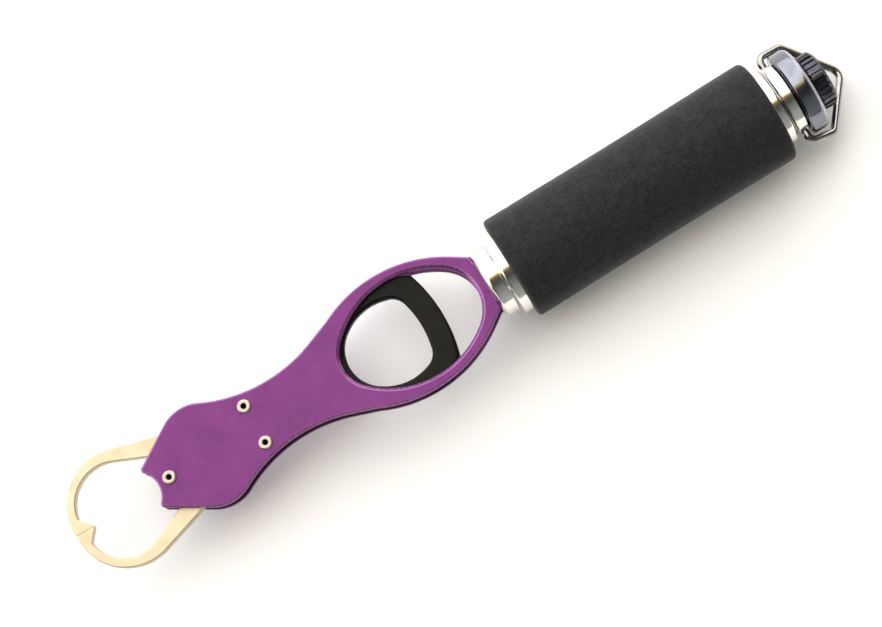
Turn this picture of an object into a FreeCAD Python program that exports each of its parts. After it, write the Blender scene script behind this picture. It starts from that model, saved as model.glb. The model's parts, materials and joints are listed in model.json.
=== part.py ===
import FreeCAD, Part
import math
import os

import Sketcher

# A lip grip: two cam-driven jaws between aluminium side plates, a finger trigger in the plates'
# oval window, and a foam handle that turns on a spindle.
# Millimetres. The row frame has +X along the handle towards the lanyard bail, +Z out of the top
# side plate, and its origin in the middle of the foam grip, on the handle's axis.
# Lengths along the tool are measured from the jaw pivot, and each sub-part is drawn from there:
# its Placement then moves the jaw pivot to its place in front of the grip.

# (name, value, what it is)
SIZES = [
    # side plates
    ("plate_gap", 4.2, "space between the side plates"),
    ("plate_thickness", 2.0, "thickness of one side plate"),
    ("window_bevel", 0.75, "bevel around the oval window"),
    ("notch_along", -5.4, "where the front notch meets the plate's front corners"),
    ("notch_half", 4.6, "half width of the front notch"),
    ("notch_radius", 7.0, "radius of the front notch"),
    ("cheek_along", -4.9, "start of the plate's front flank"),
    ("cheek_half", 6.5, "half width at the start of the front flank"),
    ("cheek_radius", 1.1, "radius of the plate's front corner"),
    ("shoulder_along", 5.9, "start of the shoulder"),
    ("shoulder_half", 13.2, "half width at the start of the shoulder"),
    ("shoulder_radius", 11.3, "radius of the shoulder"),
    ("waist_along", 17.5, "start of the waist"),
    ("waist_half", 13.15, "half width at the start of the waist"),
    ("waist_radius", 42.4, "radius of the waist's hollow"),
    ("flare_along", 52.0, "end of the waist's hollow"),
    ("flare_half", 11.65, "half width at the end of the waist's hollow"),
    ("belly_along", 58.0, "start of the belly around the window"),
    ("belly_half", 13.85, "half width at the start of the belly"),
    ("belly_radius", 37.9, "radius of the belly"),
    ("heel_along", 96.2, "end of the belly"),
    ("heel_half", 11.15, "half width at the end of the belly"),
    ("root_half", 8.2, "half width where the plate meets the bolster"),
    ("tongue_half", 6.5, "half width of the plate's tongue in the bolster"),
    ("tongue_length", 3.4, "length of the plate's tongue"),
    # oval window
    ("window_front", 55.5, "front of the window"),
    ("window_rear", 97.6, "rear of the window"),
    ("window_nose_radius", 9.54, "radius of the window's nose"),
    ("window_side_radius", 26.1, "radius of the window's sides"),
    ("window_tail_radius", 11.7, "radius of the window's tail"),
    # rivets
    ("rivet_radius", 1.4, "radius of a rivet's shank"),
    ("rivet_bore", 0.75, "radius of a rivet's hollow"),
    ("rivet_head_radius", 1.95, "radius of a rivet's head"),
    ("rivet_head_height", 0.5, "height of a rivet's head"),
    ("rear_rivet_along", 27.2, "rear rivets behind the jaw pivot"),
    ("rear_rivet_side", 5.8, "rear rivets off the centre line"),
    ("sleeve_radius", 2.4, "outer radius of the spacer sleeves"),
    # jaws
    ("jaw_thickness", 3.8, "thickness of a jaw"),
    ("jaw_lap", 1.2, "thickness of a jaw's lapped tail"),
    ("jaw_parting", 0.05, "half the gap between the closed jaws' tips"),
    ("jaw_boss_radius", 2.6, "radius of the jaw's eye around the pivot"),
    ("jaw_edge", 0.3, "rounding of the jaw's edges"),
    ("running_fit", 0.05, "radial clearance of a turning or sliding pin"),
    ("tip_along", -30.2, "front of the closed jaws"),
    ("crown_along", -10.71, "end of the jaw's outer bow"),
    ("crown_half", 15.95, "height of the jaw's outer bow"),
    ("bow_radius", 15.2, "radius of the jaw's outer bow"),
    ("inner_along", -11.56, "end of the jaw's inner bow"),
    ("inner_half", 12.5, "height of the jaw's inner bow"),
    ("inner_radius", 11.4, "radius of the jaw's inner bow"),
    ("tooth_root_along", -27.5, "root of the jaw's tooth"),
    ("tooth_root_half", 3.6, "height of the tooth's root"),
    ("tooth_point_along", -24.6, "point of the tooth"),
    ("arm_out_along", 2.7, "outer corner where the jaw's arm goes between the plates"),
    ("arm_out_half", 11.9, "height of that corner"),
    ("arm_end_along", 4.1, "end of the arm between the plates"),
    ("arm_end_half", 11.4, "height of the arm's end"),
    ("arm_root_along", -0.9, "inner corner where the arm meets its tail"),
    ("arm_root_half", 7.7, "height of that corner"),
    ("tail_tuck", 0.5, "how far the lapped tail's rim stays inside the arm"),
    # cam
    ("cam_near", 11.0, "cam pin behind the jaw pivot, jaws closed"),
    ("cam_pin_radius", 1.5, "radius of the cam pin"),
    ("cam_centre_along", 2.9, "centre of the cam slot's bow, along the tool"),
    ("cam_centre_half", 12.29, "centre of the cam slot's bow, off the centre line"),
    ("cam_bow_radius", 14.72, "radius of the cam slot's bow"),
    ("cam_start_angle", -59.4, "angle of the slot's near end about its centre"),
    ("cam_end_angle", -13.4, "angle of the slot's far end about its centre"),
    ("cam_wall", 1.7, "wall around the cam slot"),
    # drawbar and trigger
    ("bar_thickness", 1.2, "thickness of the drawbar"),
    ("bar_half", 2.1, "half width of the drawbar"),
    ("bar_eye_radius", 2.6, "radius of the drawbar's eye"),
    ("bar_neck", 2.0, "length of the drawbar's neck behind its eye"),
    ("bar_end", 54.0, "rear end of the drawbar, inside the trigger"),
    ("trigger_thickness", 3.6, "thickness of the trigger"),
    ("tang_along", 43.6, "front of the trigger's tang"),
    ("tang_half", 7.4, "half width of the trigger's tang"),
    ("tang_corner", 1.5, "chamfer of the tang's corners"),
    ("flank_along", 51.0, "where the tang's root meets the trigger's flank"),
    ("flank_half", 9.2, "half width there"),
    ("flank_radius", 36.0, "radius of the trigger's flank"),
    ("cheek_front_along", 66.0, "front of the trigger's side cheek"),
    ("cheek_front_half", 15.3, "half width there"),
    ("cheek_rear_along", 82.0, "rear of the trigger's side cheek"),
    ("cheek_rear_half", 14.55, "half width there"),
    ("cheek_bow_radius", 34.0, "radius of the trigger's side cheek"),
    ("hole_brow", 62.2, "where the finger hole's nose meets its sides"),
    ("hole_brow_half", 9.1, "half width of the finger hole there"),
    ("hole_nose_radius", 10.6, "radius of the finger hole's nose"),
    ("hole_side", 75.0, "rear end of the finger hole's sides"),
    ("hole_side_half", 10.9, "half width of the finger hole there"),
    ("hole_side_radius", 14.6, "radius of the finger hole's sides"),
    ("hole_corner", 78.9, "where the corner meets the finger rest"),
    ("hole_corner_half", 6.8, "half width of the finger rest"),
    ("hole_corner_radius", 5.0, "radius of the finger hole's rear corners"),
    ("rest_radius", 29.3, "radius of the finger rest"),
    ("back_along", 84.2, "ends of the trigger's back"),
    ("back_half", 13.4, "half width of the trigger's back"),
    ("back_radius", 43.0, "radius of the trigger's back"),
    ("tie_radius", 1.0, "radius of the pins that tie the trigger to the drawbar"),
    ("tie_near", 47.0, "first tie pin"),
    ("tie_pitch", 4.0, "spacing of the tie pins"),
    ("spring_radius", 1.7, "outer radius of the return springs"),
    ("spring_wire", 0.5, "wire of the return springs"),
    ("spring_eye", 0.35, "radius of a return spring's drawn end"),
    ("spring_hook", 2.0, "length of a return spring's drawn end"),
    ("spring_tip", 1.4, "length of the solid part of that end"),
    ("spring_throat", 2.2, "where the hollow of a return spring has its full width"),
    # ferrules and handle, from front to rear
    ("ring_start", 100.5, "front of the bolster"),
    ("ring_length", 4.4, "length of the bolster's ring"),
    ("ring_radius", 10.95, "radius of the bolster's ring"),
    ("ring_chamfer", 1.0, "chamfer of the bolster's front rim"),
    ("tang_reach", 2.5, "bolster's tang between the side plates"),
    ("tang_inset", 0.5, "how far the bolster's tang is narrower than the plates' tongues"),
    ("tongue_gap", 0.5, "wall between the plates' tongues and the spindle"),
    ("hub_radius", 5.5, "radius of the bolster's hub"),
    ("hub_length", 7.1, "length of the bolster's hub"),
    ("hub_gap", 0.7, "gap around the hub in the front collar"),
    ("seam", 0.5, "gap where the head turns against the handle"),
    ("collar_length", 3.0, "length of each grip collar"),
    ("collar_radius", 12.5, "radius of the front collar"),
    ("rear_collar_radius", 11.2, "radius of the rear collar"),
    ("collar_floor", 0.6, "thickness of a collar's floor over the tube's end"),
    ("front_rim", 0.4, "chamfer of the front collar's rim"),
    ("rear_rim", 0.8, "chamfer of the rear collar's rim"),
    ("spindle_gap", 1.0, "gap around the spindle in the rear collar"),
    ("grip_length", 82.4, "length of the foam grip"),
    ("grip_radius", 15.05, "radius of the foam grip"),
    ("grip_front_round", 1.1, "rounding of the grip's front rim"),
    ("grip_rear_round", 1.5, "rounding of the grip's rear rim"),
    ("tube_radius", 9.5, "outer radius of the handle tube"),
    ("tube_wall", 1.5, "wall of the handle tube"),
    ("bush_length", 7.0, "length of the bushes"),
    ("spindle_radius", 3.0, "radius of the spindle"),
    ("stud_radius", 2.0, "radius of the spindle's rear stud"),
    ("stud_short", 1.5, "how far the stud stops inside the knob"),
    ("stud_chamfer", 0.4, "chamfer of the stud's end"),
    ("swivel_length", 3.1, "length of the lanyard collar"),
    ("swivel_radius", 10.4, "radius of the lanyard collar"),
    ("swivel_rim", 0.35, "chamfer of the lanyard collar's rims"),
    ("play", 0.2, "end play of the lanyard collar"),
    ("disc_length", 5.6, "length of the end disc"),
    ("disc_radius", 12.3, "radius of the end disc"),
    ("disc_rim", 0.5, "chamfer of the end disc's front rim"),
    ("disc_round", 2.0, "rounding of the end disc's rear rim"),
    ("washer_length", 0.3, "thickness of the thrust washer"),
    ("washer_radius", 5.0, "radius of the thrust washer"),
    ("knob_gap", 0.15, "gap in front of the knob"),
    ("knob_length", 4.75, "length of the knob"),
    ("knob_radius", 8.2, "radius of the knob"),
    ("knob_front_rim", 0.3, "chamfer of the knob's front rim"),
    ("knob_rear_rim", 1.2, "chamfer of the knob's rear rim"),
    ("knob_floor", 1.2, "thickness of the knob's closed end"),
    ("knob_flute", 0.55, "radius of the knob's flutes"),
    ("flute_lift", 0.11, "centre of a flute, outside the knob's radius"),
    ("knob_flutes", 26, "number of the knob's flutes"),
    # bail
    ("bail_wire", 1.05, "radius of the bail's wire"),
    ("bail_inset", 7.8, "end of the bail's wire, off the axis"),
    ("bail_hole", 0.1, "how far the collar's hole goes on past the wire's end"),
    ("bail_knee", 11.5, "start of the bail's knee, off the axis"),
    ("bail_knee_radius", 2.2, "radius of the bail's knee"),
    ("bail_lean", 87.0, "direction of the bail's side, from straight out of the collar"),
    ("bail_side", 4.9, "length of the bail's side"),
    ("bail_corner_radius", 2.2, "radius of the bail's corner"),
    ("bail_close", 138.0, "direction of the bail's leg, from straight out of the collar"),
    ("bail_apex_radius", 3.0, "radius of the bail's apex"),
    ("bail_hang", 27.0, "how far the bail hangs below the handle's axis"),
]


class Size:
    """A length as a number, with the sheet formula that gives it."""

    def __init__(self, number, formula):
        self.number = number
        self.formula = formula

    def joined(self, sign, other, number):
        return Size(number, "(%s %s %s)" % (self.formula, sign, other.formula))

    def __add__(self, other):
        other = as_size(other)
        return self.joined("+", other, self.number + other.number)

    def __sub__(self, other):
        other = as_size(other)
        return self.joined("-", other, self.number - other.number)

    def __mul__(self, other):
        other = as_size(other)
        return self.joined("*", other, self.number * other.number)

    def __truediv__(self, other):
        other = as_size(other)
        return self.joined("/", other, self.number / other.number)

    def __neg__(self):
        return Size(-self.number, "(0 - %s)" % self.formula)


def as_size(value):
    if isinstance(value, Size):
        return value
    return Size(float(value), "%.6g" % value)


def cosine(angle):
    return Size(math.cos(math.radians(angle.number)), "cos(%s)" % angle.formula)


def sine(angle):
    return Size(math.sin(math.radians(angle.number)), "sin(%s)" % angle.formula)


def root(size):
    return Size(math.sqrt(size.number), "sqrt(%s)" % size.formula)


def make_sheet():
    """The spreadsheet of driving dimensions, and a Size for each of its cells."""
    sheet = DOC.addObject("Spreadsheet::Sheet", "Sizes")
    sizes = {}
    for row, (name, value, meaning) in enumerate(SIZES, start=1):
        sheet.set("A%d" % row, meaning)
        sheet.set("B%d" % row, "%g" % value)
        sheet.setAlias("B%d" % row, name)
        sizes[name] = Size(float(value), "Sizes.%s" % name)
    DOC.recompute()
    return sizes


DOC = FreeCAD.newDocument("LipGrip")
S = make_sheet()

HALF_GAP = S["plate_gap"] / 2
PLATE_TOP = HALF_GAP + S["plate_thickness"]
RING_END = S["ring_start"] + S["ring_length"]
COLLAR_START = RING_END + S["seam"]
GRIP_START = COLLAR_START + S["collar_length"]
GRIP_END = GRIP_START + S["grip_length"]
REAR_COLLAR_END = GRIP_END + S["collar_length"]
SWIVEL_START = REAR_COLLAR_END + S["seam"]
SWIVEL_END = SWIVEL_START + S["swivel_length"]
SWIVEL_MIDDLE = SWIVEL_START + S["swivel_length"] / 2
DISC_START = SWIVEL_END + S["play"]
DISC_END = DISC_START + S["disc_length"]
WASHER_END = DISC_END + S["washer_length"]
KNOB_START = WASHER_END + S["knob_gap"]
KNOB_END = KNOB_START + S["knob_length"]
TUBE_START = COLLAR_START + S["collar_floor"]
TUBE_END = REAR_COLLAR_END - S["collar_floor"]
BORE_RADIUS = S["tube_radius"] - S["tube_wall"]
# the row frame's origin is the middle of the grip, this far behind the jaw pivot
REACH = GRIP_START + S["grip_length"] / 2

# a slot's round ends are this much flatter than a half circle
SLOT_CAP = 1.05
# a cut runs this far past the solid that it opens
OVERCUT = 1.0
# a bow's edge reaches at least this far in front of the inner bow's end, and is longer than the
# edges of the tooth
BOW_MARGIN = 2.0
SHORTEST_BOW = 6.0

BODIES = []


# ---- helpers ----------------------------------------------------------------------------------

def new_body(label, along=None, hang=None):
    """A body drawn from the jaw pivot, or from a point along the tool and turned about Y."""
    body = DOC.addObject("PartDesign::Body", label)
    body.Label = label
    place = -REACH if along is None else along - REACH
    turn = FreeCAD.Rotation()
    if hang is not None:
        turn = FreeCAD.Rotation(FreeCAD.Vector(0, 1, 0), hang.number)
    body.Placement = FreeCAD.Placement(FreeCAD.Vector(place.number, 0, 0), turn)
    body.setExpression("Placement.Base.x", place.formula)
    if hang is not None:
        body.setExpression("Placement.Rotation.Angle", hang.formula)
    BODIES.append(body)
    return body


def origin_feature(body, role):
    for feature in body.Origin.OriginFeatures:
        if feature.Role == role:
            return feature
    raise ValueError("no origin feature " + role)


def new_sketch(body, role, height=None):
    """A sketch on one of the body's origin planes, or at a height above it."""
    sketch = body.newObject("Sketcher::SketchObject", body.Name + "_sketch")
    sketch.AttachmentSupport = [(origin_feature(body, role), "")]
    sketch.MapMode = "FlatFace"
    if height is not None:
        lift = FreeCAD.Vector(0, 0, height.number)
        sketch.AttachmentOffset = FreeCAD.Placement(lift, FreeCAD.Rotation())
        sketch.setExpression("AttachmentOffset.Base.z", height.formula)
    return sketch


def pin_down(sketch, kind, geometry, point, size):
    """One dimension of a sketch, bound to the sheet."""
    if point is None:
        constraint = Sketcher.Constraint(kind, geometry, size.number)
    else:
        constraint = Sketcher.Constraint(kind, geometry, point, size.number)
    index = sketch.addConstraint(constraint)
    sketch.setExpression("Constraints[%d]" % index, size.formula)


def arc_middle(first, last, radius, turn):
    """The middle of a short arc that curves left (turn 1) or right (turn -1) on its way."""
    chord = last - first
    half = chord.Length / 2
    rise = radius - math.sqrt(radius * radius - half * half)
    outward = FreeCAD.Vector(chord.y, -chord.x, 0).normalize()
    return (first + last) / 2 + outward * (rise * turn)


def end_at(sketch, geometry, point):
    """Which end of a line or arc lies at a point: 1 or 2."""
    to_first = (sketch.getPoint(geometry, 1) - point).Length
    to_second = (sketch.getPoint(geometry, 2) - point).Length
    return 1 if to_first < to_second else 2


def draw_path(sketch, steps, closed=True):
    """Lines and arcs through the steps' points.

    A step is (x, y), or (x, y, radius, turn) where an arc leads to it.
    """
    steps = [tuple(as_size(value) for value in step) for step in steps]
    points = [FreeCAD.Vector(step[0].number, step[1].number, 0) for step in steps]
    count = len(points)
    spans = range(count) if closed else range(1, count)
    edges = {}
    for index in spans:
        first = points[index - 1]
        last = points[index]
        if len(steps[index]) == 4:
            radius = steps[index][2]
            turn = steps[index][3].number
            middle = arc_middle(first, last, radius.number, turn)
            curve = Part.Arc(first, middle, last)
        else:
            curve = Part.LineSegment(first, last)
        edges[index] = sketch.addGeometry(curve, False)
    for index, edge in edges.items():
        following = (index + 1) % count
        if following in edges:
            here = end_at(sketch, edge, points[index])
            there = end_at(sketch, edges[following], points[index])
            joint = Sketcher.Constraint("Coincident", edge, here, edges[following], there)
            sketch.addConstraint(joint)
    for index in range(count):
        edge = edges[index] if index in edges else edges[index + 1]
        where = end_at(sketch, edge, points[index])
        pin_down(sketch, "DistanceX", edge, where, steps[index][0])
        pin_down(sketch, "DistanceY", edge, where, steps[index][1])
    for index, edge in edges.items():
        if len(steps[index]) == 4:
            pin_down(sketch, "Radius", edge, None, steps[index][2])


def draw_circle(sketch, across, up, radius):
    across = as_size(across)
    up = as_size(up)
    centre = FreeCAD.Vector(across.number, up.number, 0)
    circle = Part.Circle(centre, FreeCAD.Vector(0, 0, 1), radius.number)
    geometry = sketch.addGeometry(circle, False)
    pin_down(sketch, "DistanceX", geometry, 3, across)
    pin_down(sketch, "DistanceY", geometry, 3, up)
    pin_down(sketch, "Radius", geometry, None, radius)


def add_pad(body, sketch, length, symmetric=False):
    pad = body.newObject("PartDesign::Pad", body.Name + "_pad")
    pad.Profile = sketch
    pad.Length = length.number
    pad.setExpression("Length", length.formula)
    if symmetric:
        pad.SideType = "Symmetric"
    return pad


def add_pocket(body, sketch, length=None, reverse=False, symmetric=False):
    """A cut from the sketch's plane, down its normal, or up it when reversed.

    Without a length it goes through all; a symmetric cut goes both ways.
    """
    DOC.recompute()
    before = body.Shape.Volume
    pocket = body.newObject("PartDesign::Pocket", body.Name + "_pocket")
    pocket.Profile = sketch
    if symmetric:
        pocket.SideType = "Symmetric"
    if length is None:
        pocket.Type = "ThroughAll"
    else:
        pocket.Length = length.number
        pocket.setExpression("Length", length.formula)
    pocket.Reversed = reverse
    DOC.recompute()
    if body.Shape.Volume > before - 1e-6:
        raise ValueError(body.Label + ": a pocket cut nothing")
    return pocket


def add_round(body, sketch, axis="H_Axis"):
    """A full turn of the sketch about its horizontal or vertical axis."""
    turned = body.newObject("PartDesign::Revolution", body.Name + "_turned")
    turned.Profile = sketch
    turned.ReferenceAxis = (sketch, [axis])
    turned.Angle = 360
    return turned


def edges_where(shape, test):
    return ["Edge%d" % (n + 1) for n, edge in enumerate(shape.Edges) if test(edge)]


def add_edge_finish(body, kind, base, size, test):
    """A Fillet or Chamfer along the edges of base that pass the test."""
    DOC.recompute()
    names = edges_where(base.Shape, test)
    if not names:
        raise ValueError(body.Label + ": no edge to finish")
    finish = body.newObject("PartDesign::" + kind, body.Name + "_" + kind.lower())
    finish.Base = (base, names)
    dimension = "Radius" if kind == "Fillet" else "Size"
    setattr(finish, dimension, size.number)
    finish.setExpression(dimension, size.formula)
    return finish


def mirrored_steps(half):
    """A closed outline from its upper half, drawn from the rear to the front, both sides alike.

    Each step is (x, y) or (x, y, radius, turn); the last one may be reached by an arc.
    """
    lower = []
    for index in range(len(half) - 1, -1, -1):
        point = (half[index][0], -as_size(half[index][1]))
        arc = half[index + 1][2:] if index + 1 < len(half) else ()
        lower.append(point + tuple(arc))
    return half + lower


def turned_piece(label, profile):
    """A piece turned about the handle's axis from (along, radius) steps."""
    body = new_body(label)
    sketch = new_sketch(body, "XY_Plane")
    draw_path(sketch, profile)
    add_round(body, sketch)
    return body


# ---- side plates ------------------------------------------------------------------------------

def plate_outline():
    """The side plate's outline, counter-clockwise from the bolster along its upper edge."""
    upper = [
        (S["ring_start"] + S["tongue_length"], S["tongue_half"]),
        (S["ring_start"], S["tongue_half"]),
        (S["ring_start"], S["root_half"]),
        (S["heel_along"], S["heel_half"]),
        (S["belly_along"], S["belly_half"], S["belly_radius"], 1),
        (S["flare_along"], S["flare_half"]),
        (S["waist_along"], S["waist_half"], S["waist_radius"], -1),
        (S["shoulder_along"], S["shoulder_half"], S["shoulder_radius"], 1),
        (S["cheek_along"], S["cheek_half"]),
        (S["notch_along"], S["notch_half"], S["cheek_radius"], 1),
    ]
    steps = mirrored_steps(upper)
    steps[len(upper)] = steps[len(upper)][:2] + (S["notch_radius"], -1)
    return steps


def window_outline():
    """The oval window: a nose, two sides and a tail, all arcs that run smoothly into each other."""
    side = S["window_side_radius"]
    nose = S["window_nose_radius"]
    tail = S["window_tail_radius"]
    nose_centre = S["window_front"] + nose
    tail_centre = S["window_rear"] - tail
    span = tail_centre - nose_centre
    to_nose = side - nose
    to_tail = side - tail
    # the side arc's centre lies across the centre line, so that it touches both round ends
    shift = (to_nose * to_nose - to_tail * to_tail + span * span) / (span * 2)
    depth = root(to_nose * to_nose - shift * shift)
    nose_along = nose_centre - shift * nose / to_nose
    nose_half = depth * nose / to_nose
    tail_along = tail_centre + (span - shift) * tail / to_tail
    tail_half = depth * tail / to_tail
    return [
        (tail_along, -tail_half, side, 1),
        (tail_along, tail_half, tail, 1),
        (nose_along, nose_half, side, 1),
        (nose_along, -nose_half, nose, 1),
    ]


def side_plate(label, side):
    """One side plate: side is 1 for the top one and -1 for the bottom one."""
    body = new_body(label)
    base = HALF_GAP if side > 0 else -PLATE_TOP
    sketch = new_sketch(body, "XY_Plane", base)
    draw_path(sketch, plate_outline())
    add_pad(body, sketch, S["plate_thickness"])
    cuts = new_sketch(body, "XY_Plane")
    draw_path(cuts, window_outline())
    draw_circle(cuts, 0, 0, S["rivet_radius"])
    draw_circle(cuts, S["rear_rivet_along"], S["rear_rivet_side"], S["rivet_radius"])
    draw_circle(cuts, S["rear_rivet_along"], -S["rear_rivet_side"], S["rivet_radius"])
    solid = add_pocket(body, cuts, symmetric=True)
    outer = side * PLATE_TOP.number

    def is_window(edge):
        return abs(edge.CenterOfMass.z - outer) < 1e-4 and is_window_arc(edge)

    add_edge_finish(body, "Chamfer", solid, S["window_bevel"], is_window)


def is_window_arc(edge):
    """Whether an edge is one of the window's arcs, told by its radius."""
    window = ("window_side_radius", "window_tail_radius", "window_nose_radius")
    curve = edge.Curve
    return hasattr(curve, "Radius") and any(
        abs(curve.Radius - S[name].number) < 0.01 for name in window)


# ---- rivets, sleeves and spacer ---------------------------------------------------------------

def rivet_profile(across=0):
    """Half section of a hollow rivet with a rounded head at both ends, about a vertical axis."""
    lip = S["rivet_head_height"]
    slope = S["rivet_head_height"] / 2
    inner = S["rivet_bore"]
    outer = S["rivet_head_radius"]
    shank = S["rivet_radius"]
    upper = [
        (shank, PLATE_TOP),
        (outer, PLATE_TOP),
        (outer, PLATE_TOP + slope),
        (outer - slope, PLATE_TOP + lip),
        (inner + slope, PLATE_TOP + lip),
        (inner, PLATE_TOP + slope),
    ]
    lower = [(point[0], -point[1]) for point in reversed(upper)]
    return [(as_size(across) + x, y) for x, y in upper + lower]


def jaw_pivot_rivet():
    body = new_body("jaw_pivot_rivet")
    sketch = new_sketch(body, "XZ_Plane")
    draw_path(sketch, rivet_profile())
    add_round(body, sketch, "V_Axis")


def rear_pair(label, rings):
    """Two alike pieces on the rear rivets' centres.

    A ring is (lowest, highest, outer radius, inner radius).
    """
    body = new_body(label)
    for low, high, outer, inner in rings:
        sketch = new_sketch(body, "XY_Plane", low)
        for side in (1, -1):
            centre = S["rear_rivet_side"] * side
            draw_circle(sketch, S["rear_rivet_along"], centre, outer)
            draw_circle(sketch, S["rear_rivet_along"], centre, inner)
        add_pad(body, sketch, high - low)
    return body


def rear_rivets():
    lip = S["rivet_head_height"]
    head = (S["rivet_head_radius"], S["rivet_bore"])
    shank = (S["rivet_radius"], S["rivet_bore"])
    body = rear_pair("rear_rivets", [
        (-PLATE_TOP, PLATE_TOP) + shank,
        (PLATE_TOP, PLATE_TOP + lip) + head,
        (-PLATE_TOP - lip, -PLATE_TOP) + head,
    ])
    DOC.recompute()
    top = PLATE_TOP.number + lip.number

    def is_head_rim(edge):
        return abs(abs(edge.CenterOfMass.z) - top) < 1e-4

    add_edge_finish(body, "Chamfer", body.Tip, lip / 2, is_head_rim)


def spacer_sleeves():
    rear_pair("spacer_sleeves", [(-HALF_GAP, HALF_GAP, S["sleeve_radius"], S["rivet_radius"])])


def pivot_spacer():
    """The ring on the jaw pivot between the two lapped jaw tails."""
    body = new_body("pivot_spacer")
    sketch = new_sketch(body, "XY_Plane")
    draw_circle(sketch, 0, 0, S["sleeve_radius"])
    draw_circle(sketch, 0, 0, S["rivet_radius"])
    add_pad(body, sketch, S["bar_thickness"], symmetric=True)


# ---- jaws -------------------------------------------------------------------------------------

def arm_outline():
    """The upper jaw's bow, tooth and arm, clockwise from its tip."""
    return [
        (S["tip_along"], S["jaw_parting"]),
        (S["crown_along"], S["crown_half"], S["bow_radius"], -1),
        (S["arm_out_along"], S["arm_out_half"]),
        (S["arm_end_along"], S["arm_end_half"]),
        (S["arm_root_along"], S["arm_root_half"]),
        (S["inner_along"], S["inner_half"]),
        (S["tooth_root_along"], S["tooth_root_half"], S["inner_radius"], 1),
        (S["tooth_point_along"], S["jaw_parting"]),
    ]


def around_cam(radius, angle):
    """A point at a radius and an angle about the centre of the cam slot's bow."""
    return (S["cam_centre_along"] + radius * cosine(angle),
            S["cam_centre_half"] + radius * sine(angle))


def slot_outline(half_width):
    """The bowed slot, or the outline this far outside its middle line."""
    start = S["cam_start_angle"]
    end = S["cam_end_angle"]
    outer = S["cam_bow_radius"] + half_width
    inner = S["cam_bow_radius"] - half_width
    cap = half_width * SLOT_CAP
    return [
        around_cam(inner, start) + (inner, -1),
        around_cam(outer, start) + (cap, 1),
        around_cam(outer, end) + (outer, 1),
        around_cam(inner, end) + (cap, 1),
    ]


def tail_outline():
    """The upper jaw's lapped tail: eye, cam web, and a tongue under the arm, counter-clockwise."""
    eye = S["jaw_boss_radius"]
    tuck = S["tail_tuck"]
    half = S["cam_pin_radius"] + S["running_fit"] + S["cam_wall"]
    outer = S["cam_bow_radius"] + half
    inner = S["cam_bow_radius"] - half
    return [
        (-eye, 0.0),
        (0.0, -eye, eye, 1),
        around_cam(outer, S["cam_start_angle"]),
        around_cam(outer, S["cam_end_angle"]) + (outer, 1),
        around_cam(inner, S["cam_end_angle"]) + (half * SLOT_CAP, 1),
        (S["arm_out_along"] + tuck, S["arm_out_half"] - tuck),
        (S["arm_root_along"] - tuck, S["arm_root_half"] + tuck),
    ]


def flipped(steps):
    """An outline's mirror image across the centre line."""
    turned = []
    for step in steps:
        step = tuple(as_size(value) for value in step)
        if len(step) == 4:
            turned.append((step[0], -step[1], step[2], -step[3]))
        else:
            turned.append((step[0], -step[1]))
    return turned


def jaw(label, side):
    """A jaw: side is 1 for the upper one, whose tail laps on top, and -1 for the lower one."""
    shape = flipped if side < 0 else list
    body = new_body(label)
    arm = new_sketch(body, "XY_Plane")
    draw_path(arm, shape(arm_outline()))
    bow = add_pad(body, arm, S["jaw_thickness"], symmetric=True)
    front = S["inner_along"].number - BOW_MARGIN

    def is_bow_edge(edge):
        level = abs(abs(edge.CenterOfMass.z) - S["jaw_thickness"].number / 2) < 1e-4
        long_enough = edge.BoundBox.DiagonalLength > SHORTEST_BOW
        return level and long_enough and edge.BoundBox.XMin < front

    add_edge_finish(body, "Fillet", bow, S["jaw_edge"], is_bow_edge)
    lap_base = S["jaw_thickness"] / 2 - S["jaw_lap"] if side > 0 else -S["jaw_thickness"] / 2
    lap = new_sketch(body, "XY_Plane", lap_base)
    draw_path(lap, shape(tail_outline()))
    add_pad(body, lap, S["jaw_lap"])
    cuts = new_sketch(body, "XY_Plane")
    draw_circle(cuts, 0, 0, S["rivet_radius"] + S["running_fit"])
    draw_path(cuts, shape(slot_outline(S["cam_pin_radius"] + S["running_fit"])))
    add_pocket(body, cuts, symmetric=True)


# ---- drawbar, cam pin, trigger ----------------------------------------------------------------

def drawbar():
    """The flat bar that links the trigger to the cam pin."""
    body = new_body("drawbar")
    sketch = new_sketch(body, "XY_Plane")
    eye = S["bar_eye_radius"]
    neck = S["cam_near"] + eye + S["bar_neck"]
    draw_path(sketch, [
        (S["bar_end"], -S["bar_half"]),
        (S["bar_end"], S["bar_half"]),
        (neck, S["bar_half"]),
        (S["cam_near"], eye),
        (S["cam_near"] - eye, 0.0, eye, 1),
        (S["cam_near"], -eye, eye, 1),
        (neck, -S["bar_half"]),
    ])
    add_pad(body, sketch, S["bar_thickness"], symmetric=True)
    cuts = new_sketch(body, "XY_Plane")
    draw_circle(cuts, S["cam_near"], 0, S["cam_pin_radius"])
    draw_circle(cuts, S["tie_near"], 0, S["tie_radius"])
    draw_circle(cuts, S["tie_near"] + S["tie_pitch"], 0, S["tie_radius"])
    add_pocket(body, cuts, symmetric=True)


def cam_pin():
    body = new_body("cam_pin")
    sketch = new_sketch(body, "XY_Plane")
    draw_circle(sketch, S["cam_near"], 0, S["cam_pin_radius"])
    add_pad(body, sketch, S["jaw_thickness"], symmetric=True)


def trigger_pins():
    """The two pins that tie the trigger to the drawbar."""
    body = new_body("trigger_pins")
    sketch = new_sketch(body, "XY_Plane")
    draw_circle(sketch, S["tie_near"], 0, S["tie_radius"])
    draw_circle(sketch, S["tie_near"] + S["tie_pitch"], 0, S["tie_radius"])
    add_pad(body, sketch, S["trigger_thickness"], symmetric=True)


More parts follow.
